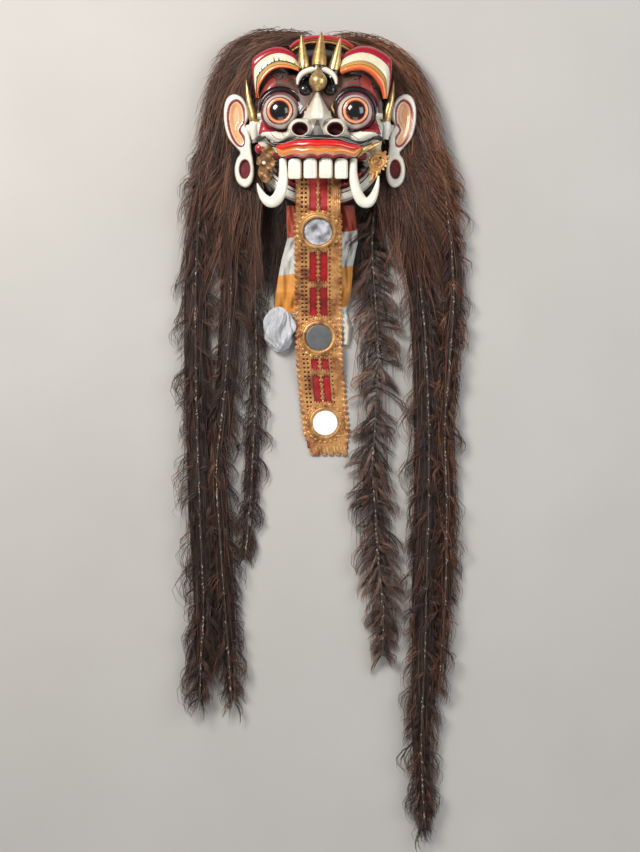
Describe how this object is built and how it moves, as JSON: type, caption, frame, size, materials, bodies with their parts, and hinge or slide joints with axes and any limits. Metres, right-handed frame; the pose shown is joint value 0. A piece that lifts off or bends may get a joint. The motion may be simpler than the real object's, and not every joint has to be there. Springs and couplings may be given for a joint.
{
  "type": "carved dance mask",
  "caption": "Carved demon dance mask with bulging eyes, tusks, a long mirrored leather tongue, a striped scarf and long bound hair, lying face up.",
  "frame": {"origin": "middle of the underside of the whole mask as it lies on its back", "axes": "+Z out of the face, +Y towards the crown, the tongue and the hair run along -Y, +X towards the mask's right side as it is looked at"},
  "size_m": [0.624, 1.741, 0.2087],
  "materials": {
    "painted_wood": "white, red, orange and gold paint under a soft gloss",
    "ivory_paint": "ivory paint, soft gloss",
    "gilding": "gold leaf over carving, worn",
    "gilded_leather": "cut and gilded hide, dull gold",
    "red_cloth": "plain weave, matt",
    "mirror_glass": "silvered, slightly dusty",
    "striped_silk": "woven bands of white and orange, soft sheen",
    "woven_band": "coarse dark cord",
    "dark_hair": "long coarse hair, dark brown with red lights"
  },
  "bodies": {
    "root": {"ear_left": "ivory_paint", "ear_right": "ivory_paint", "forehead_drop": "gilding", "hair_band": "woven_band", "hair_crown_left": "dark_hair", "hair_crown_right": "dark_hair", "hair_nape": "dark_hair", "horn_left": "gilding", "horn_right": "gilding", "lock_left_back": "dark_hair", "lock_left_middle": "dark_hair", "lock_left_outer": "dark_hair", "lock_right_front": "dark_hair", "lock_right_long": "dark_hair", "lock_right_outer": "dark_hair", "mask": "painted_wood", "mirror_1": "mirror_glass", "mirror_2": "mirror_glass", "mirror_3": "mirror_glass", "mirror_frame_1": "gilding", "mirror_frame_2": "gilding", "mirror_frame_3": "gilding", "mouth_ornament_left": "gilded_leather", "mouth_ornament_right": "gilded_leather", "scarf": "striped_silk", "scarf_knot": "striped_silk", "spike_left": "gilding", "spike_middle": "gilding", "spike_right": "gilding", "tongue_cloth": "red_cloth", "tongue_leather": "gilded_leather", "tooth_1": "ivory_paint", "tooth_2": "ivory_paint", "tooth_3": "ivory_paint", "tooth_4": "ivory_paint", "tusk_left": "ivory_paint", "tusk_right": "ivory_paint"}
  },
  "joints": []
}
